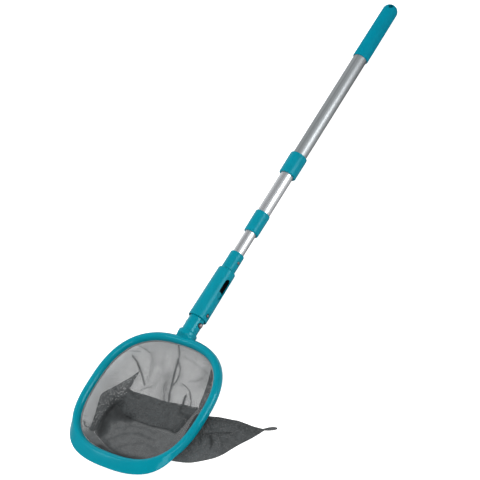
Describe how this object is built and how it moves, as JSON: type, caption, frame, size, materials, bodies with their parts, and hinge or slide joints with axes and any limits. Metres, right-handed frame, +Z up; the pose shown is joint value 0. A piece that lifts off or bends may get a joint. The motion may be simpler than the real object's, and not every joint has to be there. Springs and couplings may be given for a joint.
{
  "type": "leaf skimmer net",
  "caption": "Leaf skimmer with a rounded-square rim, a front scoop lip and a long mesh bag, on a telescopic twist-lock pole with a quick-release adapter and a grip.",
  "frame": {"origin": "on the ground under the adapter's foot, straight below the pole's axis, where the lying pole touches the ground", "axes": "+Y along the pole from the net to the grip, +X across the net towards the side where the bag's loose end lies, +Z up"},
  "size_m": [0.4386, 1.1539, 0.0394],
  "materials": {
    "teal_plastic": "satin moulded plastic",
    "teal_grip": "soft satin sleeve",
    "aluminium_tube": "drawn and anodised",
    "polished_steel": "polished",
    "spring_steel": "rolled strip",
    "lock_plastic": "moulded",
    "mesh_cloth": "fine woven mesh",
    "hem_tape": "woven tape"
  },
  "bodies": {
    "head": {"net_frame": "teal_plastic", "hem_bead_cord": "hem_tape", "net_hem_tape": "hem_tape", "net_bag": "mesh_cloth", "bag_end_tab": "mesh_cloth", "stem_spring_clip": "spring_steel", "adapter_sleeve": "teal_plastic", "inner_tube": "aluminium_tube", "pole_spring_clip": "spring_steel", "lower_lock_plug": "lock_plastic"},
    "stem_buttons_right": {"thumb_button_right": "polished_steel", "stem_lock_pin_right": "polished_steel"},
    "stem_buttons_left": {"thumb_button_left": "polished_steel", "stem_lock_pin_left": "polished_steel"},
    "snap_right": {"snap_button_right": "polished_steel"},
    "snap_left": {"snap_button_left": "polished_steel"},
    "lower_shoe": {"lower_lock_shoe": "teal_grip"},
    "middle_pole": {"middle_tube": "aluminium_tube", "lower_collar": "teal_plastic", "upper_lock_plug": "lock_plastic"},
    "upper_shoe": {"upper_lock_shoe": "teal_grip"},
    "outer_pole": {"outer_tube": "aluminium_tube", "upper_collar": "teal_plastic", "grip": "teal_grip"}
  },
  "joints": [
    {"name": "stem_squeeze_right", "type": "slide", "parent": "head", "child": "stem_buttons_right", "axis": [-1, 0, 0], "range_m": [0, 0.0045], "stiffness_N_per_m": 1500, "deforming": ["stem_spring_clip"]},
    {"name": "stem_squeeze_left", "type": "slide", "parent": "head", "child": "stem_buttons_left", "axis": [1, 0, 0], "range_m": [0, 0.0045], "stiffness_N_per_m": 1500, "deforming": ["stem_spring_clip"]},
    {"name": "snap_press_right", "type": "slide", "parent": "head", "child": "snap_right", "axis": [-1, 0, 0], "range_m": [0, 0.004], "stiffness_N_per_m": 1200, "deforming": ["pole_spring_clip"]},
    {"name": "snap_press_left", "type": "slide", "parent": "head", "child": "snap_left", "axis": [1, 0, 0], "range_m": [0, 0.004], "stiffness_N_per_m": 1200, "deforming": ["pole_spring_clip"]},
    {"name": "lower_lock_twist", "type": "hinge", "parent": "head", "child": "lower_shoe", "pos_m": [0, 0.5344, 0.0197], "axis": [0, 1, 0], "range_deg": [0, 150]},
    {"name": "lower_pole_slide", "type": "slide", "parent": "lower_shoe", "child": "middle_pole", "axis": [0, 1, 0], "range_m": [-0.048, 0.26]},
    {"name": "upper_lock_twist", "type": "hinge", "parent": "middle_pole", "child": "upper_shoe", "pos_m": [0, 0.641, 0.0197], "axis": [0, 1, 0], "range_deg": [0, 150]},
    {"name": "upper_pole_slide", "type": "slide", "parent": "upper_shoe", "child": "outer_pole", "axis": [0, 1, 0], "range_m": [-0.094, 0.22]}
  ]
}
